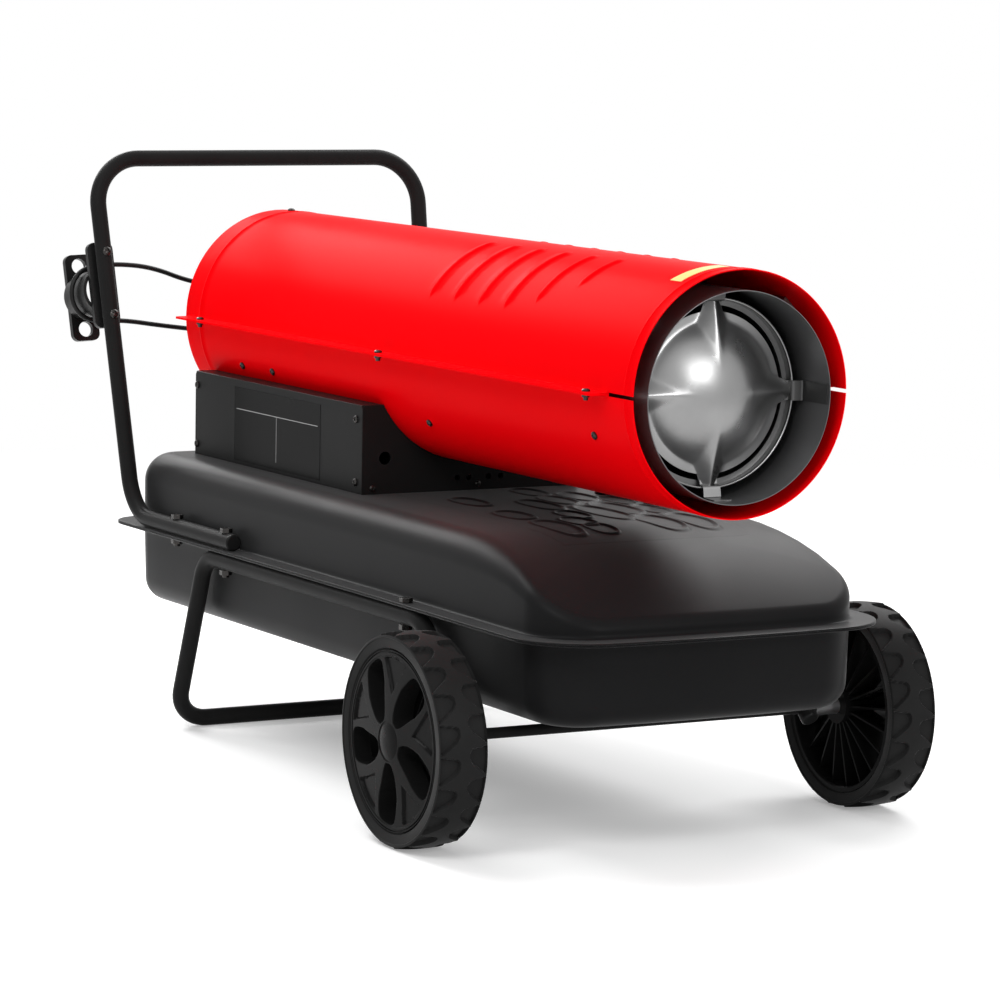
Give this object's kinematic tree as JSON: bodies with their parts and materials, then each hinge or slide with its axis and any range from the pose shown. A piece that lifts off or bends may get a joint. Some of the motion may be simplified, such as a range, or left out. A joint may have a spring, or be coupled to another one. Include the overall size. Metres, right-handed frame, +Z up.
{
  "type": "forced air heater",
  "caption": "Wheeled forced air heater: red round outer shell over a low black fuel tank, domed steel deflector in the outlet, tube push handle, bent tube stand and side cord holders.",
  "frame": {"origin": "on the floor, under the middle of the overall length and width", "axes": "+X along the air stream towards the hot outlet, +Z up, -Y is the side with the large label panel"},
  "size_m": [1.2031, 0.622, 0.6848],
  "materials": {
    "tyre": "moulded black rubber with deep tread blocks",
    "wheel_plastic": "moulded black plastic with a low sheen",
    "axle_steel": "plain drawn steel",
    "tube_black": "satin black powder coat",
    "black_plastic": "moulded black plastic",
    "tank_black": "satin black powder coat with a fine texture",
    "screw_black": "blackened steel",
    "console_black": "satin black paint on folded sheet",
    "label_black": "blank black film with thin light rules",
    "shell_red": "glossy red enamel on rolled sheet",
    "guard_black": "black coated wire",
    "liner_steel": "dark rolled steel",
    "chamber_steel": "dark stainless steel",
    "deflector_steel": "bright pressed stainless steel",
    "brass": "plain brass",
    "ceramic": "white glazed insulators",
    "sensor_black": "small dark sensor body",
    "motor_grey": "dark painted motor shell",
    "mount_steel": "zinc plated strip",
    "aluminium": "plain aluminium",
    "carbon": "graphite rotor",
    "strainer_steel": "fine steel mesh stood in for by thin sheet",
    "gauge_plastic": "black moulded gauge body",
    "gauge_red": "red moulded plastic",
    "gauge_glass": "clear window",
    "float_plastic": "light plastic float on a wire arm",
    "thermostat_white": "light moulded body",
    "board_green": "green board with dark components",
    "transformer_black": "potted black block",
    "cord_rubber": "round black rubber cord"
  },
  "bodies": {
    "frame": {"axle": "axle_steel", "axle_spacers": "axle_steel", "burner_brackets": "liner_steel", "burner_head": "chamber_steel", "combustion_chamber": "chamber_steel", "control_board": "board_green", "cord_gland": "black_plastic", "deflector": "deflector_steel", "drain_plug": "screw_black", "fan_guard": "guard_black", "far_cord_holder": "black_plastic", "far_cover": "console_black", "filler_neck": "tank_black", "flame_sensor": "sensor_black", "frame_bolts": "screw_black", "front_plate": "console_black", "fuel_gauge": "gauge_plastic", "fuel_line": "brass", "fuel_nozzle": "brass", "fuel_pickup": "brass", "fuel_strainer": "strainer_steel", "gauge_lens": "gauge_glass", "handle": "tube_black", "heat_shield": "liner_steel", "ignition_transformer": "transformer_black", "label_panel": "label_black", "leg_frame": "tube_black", "lower_shell": "shell_red", "motor": "motor_grey", "motor_mount": "mount_steel", "near_cord_holder": "black_plastic", "near_cover": "console_black", "plug": "black_plastic", "plug_pins": "brass", "power_cord": "cord_rubber", "pump_filter": "black_plastic", "pump_housing": "aluminium", "rear_plate": "console_black", "small_screws": "screw_black", "spark_electrodes": "ceramic", "switch_housing": "black_plastic", "tank_lower": "tank_black", "tank_upper": "tank_black", "thermostat": "thermostat_white", "tube_end_caps": "black_plastic", "upper_shell": "shell_red"},
    "near_wheel": {"near_tyre": "tyre", "near_rim": "wheel_plastic", "near_hub_cap": "wheel_plastic"},
    "far_wheel": {"far_tyre": "tyre", "far_rim": "wheel_plastic", "far_hub_cap": "wheel_plastic"},
    "rotor": {"fan": "aluminium", "motor_shaft": "axle_steel", "pump_rotor": "carbon"},
    "switch_rocker": {"rocker": "gauge_red"},
    "thermostat_dial": {"thermostat_knob": "black_plastic"},
    "filler_cap": {"fuel_cap": "black_plastic"},
    "gauge_pointer": {"gauge_needle": "gauge_red"},
    "gauge_float": {"float_arm": "float_plastic"}
  },
  "joints": [
    {"name": "near_wheel_spin", "type": "hinge", "parent": "frame", "child": "near_wheel", "pos_m": [0.42054, -0.2785, 0.114], "axis": [0, 1, 0], "continuous": true},
    {"name": "far_wheel_spin", "type": "hinge", "parent": "frame", "child": "far_wheel", "pos_m": [0.42054, 0.2785, 0.114], "axis": [0, 1, 0], "continuous": true},
    {"name": "rotor_spin", "type": "hinge", "parent": "frame", "child": "rotor", "pos_m": [-0.16446, 0, 0.484], "axis": [1, 0, 0], "continuous": true},
    {"name": "switch_press", "type": "hinge", "parent": "frame", "child": "switch_rocker", "pos_m": [-0.33946, 0.1405, 0.372], "axis": [1, 0, 0], "range_deg": [0, 20]},
    {"name": "thermostat_turn", "type": "hinge", "parent": "frame", "child": "thermostat_dial", "pos_m": [-0.20946, 0.15, 0.372], "axis": [0, 1, 0], "range_deg": [0, 270]},
    {"name": "filler_cap_turn", "type": "hinge", "parent": "frame", "child": "filler_cap", "pos_m": [0.12054, 0.146, 0.34], "axis": [0, 0, 1], "range_deg": [0, 90]},
    {"name": "float_lift", "type": "hinge", "parent": "frame", "child": "gauge_float", "pos_m": [0.22554, 0.142, 0.264], "axis": [0, -1, 0], "range_deg": [0, 55]},
    {"name": "gauge_pointer_turn", "type": "hinge", "parent": "frame", "child": "gauge_pointer", "pos_m": [0.22554, 0.142, 0.33], "axis": [0, 0, 1], "range_deg": [0, 110]}
  ],
  "couplings": [
    {"joint": "gauge_pointer_turn", "follows": "float_lift", "ratio": 2}
  ]
}
